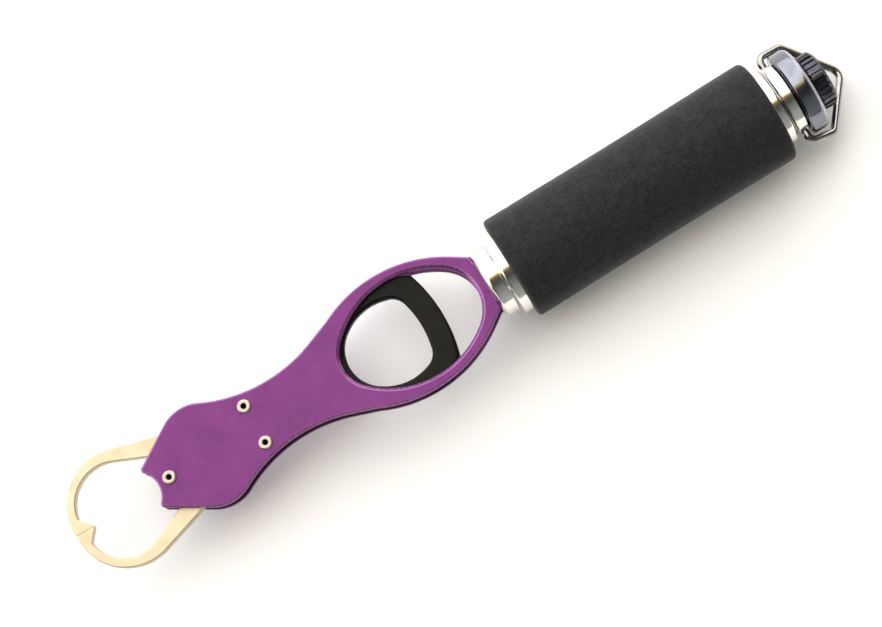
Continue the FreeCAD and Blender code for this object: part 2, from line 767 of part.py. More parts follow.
def trigger_outline():
    """The trigger's outside: a tang, two cheeks hidden under the plates, and a bowed back."""
    corner = S["tang_corner"]
    upper = [
        (S["back_along"], S["back_half"]),
        (S["cheek_rear_along"], S["cheek_rear_half"]),
        (S["cheek_front_along"], S["cheek_front_half"], S["cheek_bow_radius"], 1),
        (S["flank_along"], S["flank_half"], S["flank_radius"], 1),
        (S["tang_along"] + corner, S["tang_half"]),
        (S["tang_along"], S["tang_half"] - corner),
    ]
    steps = mirrored_steps(upper)
    steps[0] = steps[0][:2] + (S["back_radius"], 1)
    return steps


def finger_hole_outline():
    """The D-shaped finger hole: a round nose, two sides, two corners and a bowed rest."""
    return [
        (S["hole_corner"], -S["hole_corner_half"], S["hole_corner_radius"], 1),
        (S["hole_corner"], S["hole_corner_half"], S["rest_radius"], 1),
        (S["hole_side"], S["hole_side_half"], S["hole_corner_radius"], 1),
        (S["hole_brow"], S["hole_brow_half"], S["hole_side_radius"], 1),
        (S["hole_brow"], -S["hole_brow_half"], S["hole_nose_radius"], 1),
        (S["hole_side"], -S["hole_side_half"], S["hole_side_radius"], 1),
    ]


def trigger():
    body = new_body("trigger")
    outside = new_sketch(body, "XY_Plane")
    draw_path(outside, trigger_outline())
    add_pad(body, outside, S["trigger_thickness"], symmetric=True)
    cuts = new_sketch(body, "XY_Plane")
    draw_path(cuts, finger_hole_outline())
    draw_circle(cuts, S["tie_near"], 0, S["tie_radius"])
    draw_circle(cuts, S["tie_near"] + S["tie_pitch"], 0, S["tie_radius"])
    add_pocket(body, cuts, symmetric=True)
    seat = new_sketch(body, "XY_Plane")
    bar_start = S["tang_along"] - OVERCUT
    draw_path(seat, [
        (bar_start, -S["bar_half"]),
        (S["bar_end"], -S["bar_half"]),
        (S["bar_end"], S["bar_half"]),
        (bar_start, S["bar_half"]),
    ])
    add_pocket(body, seat, S["bar_thickness"], symmetric=True)


def return_spring(label, side):
    """A close-coiled extension spring as a hollow sleeve with a drawn hook end at each side."""
    body = new_body(label)
    axis = S["rear_rivet_side"] * side
    sketch = new_sketch(body, "XY_Plane")
    eye = S["spring_eye"]
    hook = S["spring_hook"]
    outer = S["spring_radius"]
    inner = outer - S["spring_wire"]
    start = S["rear_rivet_along"] + S["sleeve_radius"]
    end = S["tang_along"]
    steps = [
        (start, 0.0),
        (start, eye),
        (start + hook / 2, eye),
        (start + hook, outer),
        (end - hook, outer),
        (end - hook / 2, eye),
        (end, eye),
        (end, 0.0),
        (end - S["spring_tip"], 0.0),
        (end - S["spring_throat"], inner),
        (start + S["spring_throat"], inner),
        (start + S["spring_tip"], 0.0),
    ]
    draw_path(sketch, [(x, axis + y) for x, y in steps])
    line = sketch.addGeometry(Part.LineSegment(
        FreeCAD.Vector(start.number, axis.number, 0),
        FreeCAD.Vector(end.number, axis.number, 0)), True)
    pin_down(sketch, "DistanceX", line, 1, start)
    pin_down(sketch, "DistanceY", line, 1, axis)
    pin_down(sketch, "DistanceX", line, 2, end)
    pin_down(sketch, "DistanceY", line, 2, axis)
    add_round(body, sketch, "Axis0")


# ---- ferrules and handle ----------------------------------------------------------------------

def bolster():
    """The ring behind the side plates, with a tang between them and a hub inside the handle."""
    chamfer = S["ring_chamfer"]
    start = S["ring_start"]
    bore = S["spindle_radius"]
    bore_start = start + S["tongue_length"] + S["tongue_gap"]
    body = turned_piece("bolster", [
        (start, 0.0),
        (start, S["ring_radius"] - chamfer),
        (start + chamfer, S["ring_radius"]),
        (RING_END, S["ring_radius"]),
        (RING_END, S["hub_radius"]),
        (RING_END + S["hub_length"], S["hub_radius"]),
        (RING_END + S["hub_length"], bore),
        (bore_start, bore),
        (bore_start, 0.0),
    ])
    tang = new_sketch(body, "XY_Plane")
    reach = start - S["tang_reach"]
    inset = S["tang_inset"]
    draw_path(tang, rectangle(reach, start + inset, S["tongue_half"] - inset))
    add_pad(body, tang, S["plate_gap"], symmetric=True)
    for side in (1, -1):
        base = HALF_GAP if side > 0 else -PLATE_TOP
        slot = new_sketch(body, "XY_Plane", base)
        draw_path(slot, rectangle(start, start + S["tongue_length"], S["tongue_half"]))
        add_pocket(body, slot, S["plate_thickness"], reverse=True)


def rectangle(start, end, half):
    return [(start, -half), (end, -half), (end, half), (start, half)]


def spindle():
    """The rod from the bolster to the knob, with a thinner stud for the disc's washer and knob."""
    start = S["ring_start"] + S["tongue_length"] + S["tongue_gap"]
    stud_end = KNOB_END - S["stud_short"]
    turned_piece("spindle", [
        (start, 0.0),
        (start, S["spindle_radius"]),
        (DISC_END, S["spindle_radius"]),
        (DISC_END, S["stud_radius"]),
        (stud_end - S["stud_chamfer"], S["stud_radius"]),
        (stud_end, S["stud_radius"] - S["stud_chamfer"]),
        (stud_end, 0.0),
    ])


def handle_tube():
    turned_piece("handle_tube", [
        (TUBE_START, BORE_RADIUS),
        (TUBE_START, S["tube_radius"]),
        (TUBE_END, S["tube_radius"]),
        (TUBE_END, BORE_RADIUS),
    ])


def front_collar():
    lip = S["hub_radius"] + S["hub_gap"]
    rim = S["front_rim"]
    turned_piece("front_collar", [
        (COLLAR_START, lip),
        (COLLAR_START, S["collar_radius"] - rim),
        (COLLAR_START + rim, S["collar_radius"]),
        (GRIP_START, S["collar_radius"]),
        (GRIP_START, S["tube_radius"]),
        (TUBE_START, S["tube_radius"]),
        (TUBE_START, lip),
    ])


def rear_collar():
    lip = S["spindle_radius"] + S["spindle_gap"]
    rim = S["rear_rim"]
    turned_piece("rear_collar", [
        (GRIP_END, S["tube_radius"]),
        (GRIP_END, S["rear_collar_radius"]),
        (REAR_COLLAR_END - rim, S["rear_collar_radius"]),
        (REAR_COLLAR_END, S["rear_collar_radius"] - rim),
        (REAR_COLLAR_END, lip),
        (TUBE_END, lip),
        (TUBE_END, S["tube_radius"]),
    ])


def bush(label, start, end, bore):
    """A plain bush pressed into the handle tube."""
    turned_piece(label, [
        (start, bore),
        (start, BORE_RADIUS),
        (end, BORE_RADIUS),
        (end, bore),
    ])


def foam_grip():
    front = S["grip_front_round"]
    rear = S["grip_rear_round"]
    turned_piece("foam_grip", [
        (GRIP_START, S["tube_radius"]),
        (GRIP_START, S["grip_radius"] - front),
        (GRIP_START + front, S["grip_radius"], front, -1),
        (GRIP_END - rear, S["grip_radius"]),
        (GRIP_END, S["grip_radius"] - rear, rear, -1),
        (GRIP_END, S["tube_radius"]),
    ])


def lanyard_collar():
    """The ring that swivels on the spindle and holds the bail's ends."""
    edge = S["swivel_rim"]
    bore = S["spindle_radius"] + S["running_fit"]
    body = turned_piece("lanyard_collar", [
        (SWIVEL_START, bore),
        (SWIVEL_START, S["swivel_radius"] - edge),
        (SWIVEL_START + edge, S["swivel_radius"]),
        (SWIVEL_END - edge, S["swivel_radius"]),
        (SWIVEL_END, S["swivel_radius"] - edge),
        (SWIVEL_END, bore),
    ])
    floor = S["bail_inset"] - S["bail_hole"]
    depth = S["swivel_radius"] - floor + OVERCUT
    for side in (1, -1):
        # the XZ plane's normal is -Y
        hole = new_sketch(body, "XZ_Plane", floor * -side)
        draw_circle(hole, SWIVEL_MIDDLE, 0, S["bail_wire"] + S["running_fit"])
        add_pocket(body, hole, depth, reverse=side < 0)


def end_disc():
    turned_piece("end_disc", [
        (DISC_START, S["spindle_radius"]),
        (DISC_START, S["disc_radius"] - S["disc_rim"]),
        (DISC_START + S["disc_rim"], S["disc_radius"]),
        (DISC_END - S["disc_round"], S["disc_radius"]),
        (DISC_END, S["disc_radius"] - S["disc_round"], S["disc_round"], -1),
        (DISC_END, S["spindle_radius"]),
    ])


def thrust_washer():
    turned_piece("thrust_washer", [
        (DISC_END, S["stud_radius"]),
        (DISC_END, S["washer_radius"]),
        (WASHER_END, S["washer_radius"]),
        (WASHER_END, S["stud_radius"]),
    ])


def end_knob():
    """The fluted thumb knob on the spindle's stud."""
    bore = S["stud_radius"] + S["running_fit"]
    floor = KNOB_END - S["knob_floor"]
    front = S["knob_front_rim"]
    rear = S["knob_rear_rim"]
    body = turned_piece("end_knob", [
        (KNOB_START, bore),
        (KNOB_START, S["knob_radius"] - front),
        (KNOB_START + front, S["knob_radius"]),
        (KNOB_END - rear, S["knob_radius"]),
        (KNOB_END, S["knob_radius"] - rear),
        (KNOB_END, 0.0),
        (floor, 0.0),
        (floor, bore),
    ])
    flute = new_sketch(body, "YZ_Plane", KNOB_START - OVERCUT)
    draw_circle(flute, S["knob_radius"] + S["flute_lift"], 0, S["knob_flute"])
    cut = add_pocket(body, flute, S["knob_length"] + OVERCUT * 2, reverse=True)
    ring = body.newObject("PartDesign::PolarPattern", "end_knob_flutes")
    ring.Originals = [cut]
    ring.Axis = (origin_feature(body, "X_Axis"), [""])
    ring.Angle = 360
    ring.Occurrences = int(S["knob_flutes"].number)
    ring.setExpression("Occurrences", S["knob_flutes"].formula)
    body.Tip = ring


def onward(point, heading, length):
    """The point at the end of a straight run. A heading is an angle from straight out of the collar."""
    return (point[0] + length * sine(heading), point[1] + length * cosine(heading))


def turned_to(point, before, after, radius):
    """The point at the end of an arc that turns from one heading to another, towards the middle."""
    return (point[0] + radius * (cosine(before) - cosine(after)),
            point[1] - radius * (sine(before) - sine(after)))


def bail_outline():
    """The bail's middle line: ends, knees, sides, corners, legs and apex, all tangent."""
    straight = Size(0.0, "0")
    lean = S["bail_lean"]
    close = S["bail_close"]
    end = (0.0, S["bail_inset"])
    knee = (as_size(0.0), S["bail_knee"])
    side = turned_to(knee, straight, lean, S["bail_knee_radius"])
    corner = onward(side, lean, S["bail_side"])
    leg = turned_to(corner, lean, close, S["bail_corner_radius"])
    # the apex arc is tangent to both legs, so its radius gives its half width
    apex_half = S["bail_apex_radius"] * sine(close)
    run = (apex_half - leg[1]) / cosine(close)
    apex = onward(leg, close, run)
    steps = mirrored_steps([
        end,
        knee,
        side + (S["bail_knee_radius"], -1),
        corner,
        leg + (S["bail_corner_radius"], -1),
        apex,
    ])
    middle = len(steps) // 2
    steps[middle] = steps[middle][:2] + (S["bail_apex_radius"], -1)
    return steps


def bail():
    """The bent wire bail, drawn flat from its hinge axis and then hung below the handle's axis."""
    body = new_body("bail", SWIVEL_MIDDLE, S["bail_hang"])
    path = new_sketch(body, "XY_Plane")
    draw_path(path, bail_outline(), closed=False)
    section = new_sketch(body, "XZ_Plane", -S["bail_inset"])
    draw_circle(section, 0, 0, S["bail_wire"])
    pipe = body.newObject("PartDesign::AdditivePipe", "bail_pipe")
    pipe.Profile = section
    pipe.Spine = path


# ---- build, check, write ----------------------------------------------------------------------

def build_all():
    side_plate("side_plate_top", 1)
    side_plate("side_plate_bottom", -1)
    jaw_pivot_rivet()
    rear_rivets()
    spacer_sleeves()
    pivot_spacer()
    jaw("upper_jaw", 1)
    jaw("lower_jaw", -1)
    drawbar()
    cam_pin()
    trigger()
    trigger_pins()
    return_spring("return_spring_upper", 1)
    return_spring("return_spring_lower", -1)
    bolster()
    spindle()
    handle_tube()
    front_collar()
    rear_collar()
    bush("front_bush", TUBE_START, COLLAR_START + S["bush_length"],
         S["hub_radius"] + S["running_fit"])
    bush("rear_bush", REAR_COLLAR_END - S["bush_length"], TUBE_END,
         S["spindle_radius"] + S["running_fit"])
    foam_grip()
    lanyard_collar()
    end_disc()
    thrust_washer()
    end_knob()
    bail()


def check_all():
    DOC.recompute()
    for thing in DOC.Objects:
        if "Invalid" in thing.State or "Error" in thing.State:
            raise ValueError("%s: %s" % (thing.Label, thing.State))
    for body in BODIES:
        if body.Shape.isNull() or not body.Shape.isValid():
            raise ValueError(body.Label + ": bad shape")


def write_all():
    os.makedirs("parts", exist_ok=True)
    for body in BODIES:
        body.Shape.exportStep("parts/%s.step" % body.Label)
        box = body.Shape.BoundBox
        print("%-20s solids %d  volume %9.1f  x %7.2f %7.2f  y %6.2f %6.2f  z %6.2f %6.2f" % (
            body.Label, len(body.Shape.Solids), body.Shape.Volume,
            box.XMin, box.XMax, box.YMin, box.YMax, box.ZMin, box.ZMax))


build_all()
check_all()
write_all()
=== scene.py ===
import json
import math

import bmesh
import bpy
import numpy as np
from mathutils import Matrix, Vector


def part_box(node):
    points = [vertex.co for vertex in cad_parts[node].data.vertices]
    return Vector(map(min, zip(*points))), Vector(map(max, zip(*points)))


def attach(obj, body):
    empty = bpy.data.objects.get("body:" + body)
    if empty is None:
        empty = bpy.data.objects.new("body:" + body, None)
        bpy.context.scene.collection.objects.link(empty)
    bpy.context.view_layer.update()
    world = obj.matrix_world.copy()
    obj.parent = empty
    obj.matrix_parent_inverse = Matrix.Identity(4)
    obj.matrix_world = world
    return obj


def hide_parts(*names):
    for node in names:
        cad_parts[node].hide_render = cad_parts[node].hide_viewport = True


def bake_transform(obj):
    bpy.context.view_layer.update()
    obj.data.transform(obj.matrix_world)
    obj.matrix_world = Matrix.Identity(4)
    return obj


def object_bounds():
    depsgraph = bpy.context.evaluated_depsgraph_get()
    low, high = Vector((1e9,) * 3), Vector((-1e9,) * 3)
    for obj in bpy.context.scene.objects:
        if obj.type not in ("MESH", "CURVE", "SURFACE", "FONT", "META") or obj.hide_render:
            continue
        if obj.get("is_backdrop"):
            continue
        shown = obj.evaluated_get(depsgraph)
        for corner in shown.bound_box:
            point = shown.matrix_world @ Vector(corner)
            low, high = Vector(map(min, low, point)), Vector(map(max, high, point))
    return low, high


# The lip grip's looks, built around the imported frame. +X runs along the handle towards the lanyard
# bail, +Z out of the top side plate. Sizes of pieces are in millimetres and are turned into metres
# by MM; the camera, the light and the floor are in metres.

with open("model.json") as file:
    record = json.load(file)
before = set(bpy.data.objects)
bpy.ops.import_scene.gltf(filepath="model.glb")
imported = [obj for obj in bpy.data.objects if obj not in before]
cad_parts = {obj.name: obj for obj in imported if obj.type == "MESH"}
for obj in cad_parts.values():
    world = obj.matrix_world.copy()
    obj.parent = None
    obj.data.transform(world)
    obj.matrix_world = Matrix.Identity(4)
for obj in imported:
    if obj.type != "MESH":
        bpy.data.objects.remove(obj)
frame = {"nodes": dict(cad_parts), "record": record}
CAD_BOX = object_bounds()

MM = 0.001
TURN = 2 * math.pi

# solids: how near corners are joined, what counts as one flat face, and what counts as a sharp edge
WELD = 2e-6
FLAT_ANGLE = math.radians(0.4)
SHARP_ANGLE = math.radians(25)
# a radius under this is on the axis of a turned solid
ON_AXIS = 1e-6
# how much more a large face counts than a small one when normals are evened out
NORMALS_WEIGHT = 90

# how wide edges are rounded, and the share of the plates' rounding that their window's rim gets
PLATE_ROUNDING = 0.5
WINDOW_SHARE = 0.4
JAW_ROUNDING = 0.14
TRIGGER_ROUNDING = 0.95
BOLSTER_ROUNDING = 0.22
COLLAR_ROUNDING = 0.25
RING_ROUNDING = 0.2

# the light window: its direction, how bright it is, and the room's colours from facing away from
# it (0) to facing it (1)
WINDOW = (-0.24, 0.96, 0.12)
WINDOW_STRENGTH = 2.6
ROOM = [
    (0.0, (0.16, 0.165, 0.16)),
    (0.36, (0.030, 0.034, 0.031)),
    (0.47, (0.035, 0.036, 0.030)),
    (0.525, (0.13, 0.085, 0.045)),
    (0.565, (0.60, 0.46, 0.26)),
    (0.61, (0.95, 0.90, 0.78)),
    (0.70, (1.0, 0.995, 0.99)),
    (1.0, (0.98, 0.99, 1.0)),
]

# the soft panel overhead, in metres and watts
FILL_POWER = 5.0
FILL_PLACE = (0.1, -0.5, 1.4)
FILL_WIDTH = 1.6
FILL_COLOR = (1.0, 0.985, 0.96)

# the camera: what it looks at, from where, which way is up, how far off, and its lens
CAMERA_TARGET = (-0.0637, -0.00025, 0.0)
CAMERA_BACK = (0.0013, -0.185, 1.0)
CAMERA_UP = (0.5195, 0.8545, 0.0)
CAMERA_DISTANCE = 0.8145
CAMERA_LENS = 122.2
CAMERA_SENSOR = 36.0

FLOOR_WIDTH = 8.0


# ---- finishes -----------------------------------------------------------------------------------

class Finish:
    """A procedural finish: a Principled shader and the nodes that vary it over the surface."""

    def __init__(self, name, color, metallic=0.0, roughness=0.5, **fixed):
        self.material = bpy.data.materials.new(name)
        self.material.use_nodes = True
        self.tree = self.material.node_tree
        self.shader = self.tree.nodes["Principled BSDF"]
        self.shader.inputs["Base Color"].default_value = (*color, 1.0)
        self.shader.inputs["Metallic"].default_value = metallic
        self.shader.inputs["Roughness"].default_value = roughness
        for label, value in fixed.items():
            self.shader.inputs[label.replace("_", " ")].default_value = value
        self.place = self.tree.nodes.new("ShaderNodeTexCoord").outputs["Object"]
        self.height = None

    def link(self, output, entry):
        self.tree.links.new(output, entry)

    def stretched(self, stretch):
        """The piece's own coordinates, scaled along each axis."""
        mapping = self.tree.nodes.new("ShaderNodeMapping")
        mapping.inputs["Scale"].default_value = stretch
        self.link(self.place, mapping.inputs["Vector"])
        return mapping.outputs["Vector"]

    def noise(self, size, detail=3.0, rough=0.5, stretch=(1, 1, 1)):
        """Noise whose features are about size millimetres across."""
        node = self.tree.nodes.new("ShaderNodeTexNoise")
        node.inputs["Scale"].default_value = 1 / (size * MM)
        node.inputs["Detail"].default_value = detail
        node.inputs["Roughness"].default_value = rough
        self.link(self.stretched(stretch), node.inputs["Vector"])
        return node.outputs["Fac"]

    def cells(self, size):
        """Distance to the nearest of many points about size millimetres apart."""
        node = self.tree.nodes.new("ShaderNodeTexVoronoi")
        node.inputs["Scale"].default_value = 1 / (size * MM)
        self.link(self.place, node.inputs["Vector"])
        return node.outputs["Distance"]

    def spread(self, value, low, high, start=0.35, end=0.65):
        """The value's middle range spread from low to high."""
        node = self.tree.nodes.new("ShaderNodeMapRange")
        node.inputs["From Min"].default_value = start
        node.inputs["From Max"].default_value = end
        node.inputs["To Min"].default_value = low
        node.inputs["To Max"].default_value = high
        self.link(value, node.inputs["Value"])
        return node.outputs["Result"]

    def colors(self, value, dark, light, start=0.35, end=0.65):
        """Base colour from dark to light as the value rises."""
        node = self.tree.nodes.new("ShaderNodeMix")
        node.data_type = "RGBA"
        node.inputs["A"].default_value = (*dark, 1.0)
        node.inputs["B"].default_value = (*light, 1.0)
        self.link(self.spread(value, 0.0, 1.0, start, end), node.inputs["Factor"])
        self.link(node.outputs["Result"], self.shader.inputs["Base Color"])
        return self

    def gloss(self, value, low, high, start=0.35, end=0.65):
        """Roughness from low to high as the value rises."""
        self.link(self.spread(value, low, high, start, end), self.shader.inputs["Roughness"])
        return self

    def bump(self, value, depth, strength=1.0):
        """Relief of depth millimetres, laid over any relief already there."""
        node = self.tree.nodes.new("ShaderNodeBump")
        node.inputs["Strength"].default_value = strength
        node.inputs["Distance"].default_value = depth * MM
        self.link(value, node.inputs["Height"])
        if self.height is not None:
            self.link(self.height, node.inputs["Normal"])
        self.height = node.outputs["Normal"]
        self.link(self.height, self.shader.inputs["Normal"])
        return self


def anodised(name, dark, light, roughness, grain=0.010):
    finish = Finish(name, light, metallic=0.55, roughness=roughness)
    finish.colors(finish.noise(7.0, 4.0), dark, light)
    finish.gloss(finish.noise(0.9, 3.0), roughness - 0.05, roughness + 0.07)
    finish.bump(finish.noise(0.16, 2.0), grain)
    finish.bump(finish.noise(1.6, 2.0), grain)
    return finish.material


def purple_face():
    return anodised("purple_anodised_face", (0.146, 0.0255, 0.150), (0.170, 0.031, 0.174), 0.46)


# A darker copy of the plates' purple for their walls: painted shade.
def purple_wall_painted_shade():
    return anodised("purple_anodised_wall_painted_shade", (0.055, 0.010, 0.060), (0.075, 0.015, 0.080), 0.42)


# A lighter copy of the plates' purple for their rounded edges: a painted highlight, under a real clear
# coat.
def purple_edge_painted_highlight():
    dark = (0.20, 0.045, 0.205)
    light = (0.26, 0.066, 0.265)
    edge = anodised("purple_anodised_edge_painted_highlight", dark, light, 0.26, 0.002)
    shader = edge.node_tree.nodes["Principled BSDF"]
    shader.inputs["Coat Weight"].default_value = 0.7
    shader.inputs["Coat Roughness"].default_value = 0.22
    return edge


def jaw_finish():
    finish = Finish("champagne_steel", (0.55, 0.48, 0.33), metallic=0.75, roughness=0.34)
    finish.colors(finish.noise(5.0, 4.0), (0.50, 0.425, 0.285), (0.57, 0.49, 0.345))
    finish.gloss(finish.noise(0.35, 3.0, stretch=(1, 6, 6)), 0.27, 0.42)
    finish.bump(finish.noise(0.22, 2.0, stretch=(1, 5, 5)), 0.006)
    return finish.material


def polished_steel():
    finish = Finish("polished_steel", (0.82, 0.80, 0.76), metallic=1.0, roughness=0.10)
    finish.colors(finish.noise(3.0, 3.0), (0.78, 0.755, 0.71), (0.86, 0.845, 0.81))
    finish.gloss(finish.noise(0.25, 2.0, stretch=(3, 0.4, 0.4)), 0.07, 0.15)
    finish.bump(finish.noise(0.10, 1.0, stretch=(3, 0.3, 0.3)), 0.0012)
    return finish.material


def rivet_steel():
    finish = Finish("rivet_steel", (0.80, 0.70, 0.68), metallic=0.85, roughness=0.28)
    finish.colors(finish.noise(0.8, 3.0), (0.40, 0.33, 0.28), (0.50, 0.425, 0.37))
    finish.gloss(finish.noise(0.2, 2.0), 0.22, 0.36)
    finish.bump(finish.noise(0.12, 2.0), 0.006)
    return finish.material


def rivet_bore():
    """Painted shade for the narrow inside of a hollow rivet: dark, dull steel."""
    finish = Finish("rivet_bore", (0.035, 0.034, 0.028), metallic=0.3, roughness=0.7)
    finish.colors(finish.noise(0.4, 3.0), (0.020, 0.020, 0.016), (0.045, 0.043, 0.036))
    finish.gloss(finish.noise(0.3, 2.0), 0.6, 0.8)
    finish.bump(finish.noise(0.2, 2.0), 0.010)
    return finish.material


def machined_steel():
    finish = Finish("machined_steel", (0.55, 0.55, 0.56), metallic=1.0, roughness=0.32)
    finish.colors(finish.noise(2.5, 4.0), (0.47, 0.47, 0.48), (0.60, 0.60, 0.61))
    finish.gloss(finish.noise(0.3, 3.0, stretch=(1, 4, 4)), 0.24, 0.42)
    finish.bump(finish.noise(0.18, 2.0, stretch=(1, 5, 5)), 0.006)
    return finish.material


def drawn_aluminium():
    finish = Finish("drawn_aluminium", (0.70, 0.70, 0.71), metallic=1.0, roughness=0.36)
    finish.colors(finish.noise(4.0, 3.0, stretch=(0.15, 1, 1)), (0.62, 0.62, 0.63), (0.74, 0.74, 0.75))
    finish.gloss(finish.noise(0.4, 3.0, stretch=(0.1, 1, 1)), 0.28, 0.44)
    finish.bump(finish.noise(0.25, 2.0, stretch=(0.08, 1, 1)), 0.006)
    return finish.material


def bush_plastic():
    finish = Finish("acetal", (0.78, 0.76, 0.70), roughness=0.42, Subsurface_Weight=0.15)
    finish.shader.inputs["Subsurface Radius"].default_value = (1.2 * MM, 1.0 * MM, 0.8 * MM)
    finish.shader.inputs["Subsurface Scale"].default_value = 1.0
    finish.colors(finish.noise(3.0, 3.0), (0.72, 0.70, 0.63), (0.82, 0.80, 0.75))
    finish.gloss(finish.noise(0.4, 2.0), 0.36, 0.50)
    finish.bump(finish.noise(0.3, 2.0), 0.008)
    return finish.material


def moulded_black():
    finish = Finish("black_moulded_plastic", (0.006, 0.006, 0.005), roughness=0.42)
    finish.shader.inputs["Specular IOR Level"].default_value = 0.14
    finish.colors(finish.noise(6.0, 3.0), (0.0022, 0.0022, 0.0016), (0.0042, 0.0042, 0.0033))
    finish.gloss(finish.noise(0.5, 3.0), 0.32, 0.48)
    finish.bump(finish.cells(0.22), 0.012)
    finish.bump(finish.noise(1.4, 2.0), 0.012)
    return finish.material


def foam_finish():
    """Closed-cell foam, ground to shape: fine open cells, a nap, and faint patches."""
    finish = Finish("black_foam", (0.010, 0.010, 0.011), roughness=0.88, Sheen_Weight=0.24)
    finish.shader.inputs["Sheen Roughness"].default_value = 0.35
    finish.shader.inputs["Sheen Tint"].default_value = (0.75, 0.77, 0.82, 1.0)
    finish.shader.inputs["Specular IOR Level"].default_value = 0.32
    finish.colors(finish.noise(0.8, 6.0, 0.7), (0.0050, 0.0050, 0.0057), (0.0205, 0.0205, 0.0235))
    finish.gloss(finish.noise(3.0, 4.0), 0.80, 0.95)
    finish.bump(finish.cells(0.30), 0.05, 0.8)
    finish.bump(finish.noise(1.1, 5.0, 0.65), 0.14, 0.9)
    return finish.material


def black_chrome():
    finish = Finish("black_chrome", (0.23, 0.235, 0.27), metallic=1.0, roughness=0.08)
    finish.colors(finish.noise(3.0, 3.0), (0.20, 0.205, 0.235), (0.25, 0.26, 0.30))
    finish.gloss(finish.noise(0.25, 2.0, stretch=(3, 0.4, 0.4)), 0.05, 0.13)
    finish.bump(finish.noise(0.10, 1.0, stretch=(3, 0.3, 0.3)), 0.0010)
    return finish.material


def rim_chrome_painted_highlight():
    """A paler copy of the disc's black chrome for its rear rounding: a painted highlight."""
    finish = Finish("rim_chrome_painted_highlight", (0.46, 0.44, 0.52), metallic=0.8, roughness=0.28)
    finish.colors(finish.noise(2.0, 3.0), (0.42, 0.40, 0.48), (0.50, 0.48, 0.56))
    finish.gloss(finish.noise(0.3, 2.0), 0.22, 0.34)
    finish.bump(finish.noise(0.15, 1.0), 0.002)
    return finish.material


def knob_finish():
    finish = Finish("black_nickel_knob", (0.12, 0.12, 0.14), metallic=1.0, roughness=0.20)
    finish.colors(finish.noise(2.0, 3.0), (0.060, 0.060, 0.072), (0.090, 0.090, 0.106))
    finish.gloss(finish.noise(0.3, 3.0), 0.14, 0.26)
    finish.bump(finish.noise(0.15, 2.0), 0.006)
    return finish.material


def wire_chrome():
    finish = Finish("chromed_wire", (0.36, 0.35, 0.34), metallic=1.0, roughness=0.13)
    finish.colors(finish.noise(2.0, 3.0), (0.32, 0.31, 0.30), (0.40, 0.39, 0.38))
    finish.gloss(finish.noise(0.3, 3.0), 0.09, 0.19)
    finish.bump(finish.noise(0.2, 2.0), 0.003)
    return finish.material


def spring_wire():
    finish = Finish("spring_wire", (0.62, 0.61, 0.60), metallic=1.0, roughness=0.24)
    finish.colors(finish.noise(1.5, 3.0), (0.54, 0.53, 0.52), (0.68, 0.67, 0.66))
    finish.gloss(finish.noise(0.2, 2.0), 0.18, 0.30)
    finish.bump(finish.noise(0.15, 2.0), 0.004)
    return finish.material


FINISHES = {
    "anodised_plate": purple_face(),
    "plate_edge_painted_highlight": purple_edge_painted_highlight(),
    "plate_wall_painted_shade": purple_wall_painted_shade(),
    "jaw_steel": jaw_finish(),
    "polished_steel": polished_steel(),
    "rivet_steel": rivet_steel(),
    "rivet_bore": rivet_bore(),
    "plain_steel": machined_steel(),
    "tube_aluminium": drawn_aluminium(),
    "bush_plastic": bush_plastic(),
    "trigger_plastic": moulded_black(),
    "foam": foam_finish(),
    "dark_chrome": black_chrome(),
    "disc_rim": rim_chrome_painted_highlight(),
    "dark_knob": knob_finish(),
    "bail_chrome": wire_chrome(),
    "spring_steel": spring_wire(),
}


# ---- making pieces ------------------------------------------------------------------------------

def linked(name, data):
    piece = bpy.data.objects.new(name, data)
    bpy.context.scene.collection.objects.link(piece)
    return piece


def standing_for(piece, nodes, slot):
    """The piece takes the nodes' place, with this material slot and its finish."""
    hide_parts(*nodes)
    if not piece.data.materials:
        piece.data.materials.append(FINISHES[slot])
    return piece


def on_body(piece, body, nodes, slot):
    """The piece takes the nodes' place and moves with the body."""
    standing_for(piece, nodes, slot)
    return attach(piece, body)


def clean_solid(node):
    """The node's solid with its seams welded and its flat faces whole."""
    solid = bmesh.new()
    solid.from_mesh(frame["nodes"][node].data)
    bmesh.ops.remove_doubles(solid, verts=solid.verts, dist=WELD)
    bmesh.ops.dissolve_limit(solid, angle_limit=FLAT_ANGLE, verts=solid.verts, edges=solid.edges)
    return solid


def softened(node, body, slot, width, segments=3, weight=None, clamp=True):
    """The node's solid with rounded edges, width millimetres wide.

    weight says how much of that width an edge gets; without it each sharp edge gets all of it.
    clamp narrows the rounding where it would run into another edge.
    """
    solid = clean_solid(node)
    share = solid.edges.layers.float.new("bevel_weight_edge")
    for edge in solid.edges:
        if edge.calc_face_angle(0.0) > SHARP_ANGLE:
            edge[share] = 1.0 if weight is None else weight(edge)
            edge.smooth = edge[share] > 0
    data = bpy.data.meshes.new(node + "_finished")
    solid.to_mesh(data)
    solid.free()
    data.polygons.foreach_set("use_smooth", [True] * len(data.polygons))
    piece = linked(data.name, data)
    bevel = piece.modifiers.new("rounded_edges", "BEVEL")
    bevel.limit_method = "WEIGHT"
    bevel.width = width * MM
    bevel.segments = segments
    bevel.use_clamp_overlap = clamp
    normals = piece.modifiers.new("even_normals", "WEIGHTED_NORMAL")
    normals.keep_sharp = True
    normals.weight = NORMALS_WEIGHT
    return on_body(piece, body, [node], slot)


def mesh_of(name, points, faces, smooth_angle=40):
    data = bpy.data.meshes.new(name)
    data.from_pydata([tuple(point) for point in points], [], faces)
    data.polygons.foreach_set("use_smooth", [True] * len(data.polygons))
    data.set_sharp_from_angle(angle=math.radians(smooth_angle))
    data.validate()
    return linked(name, data)


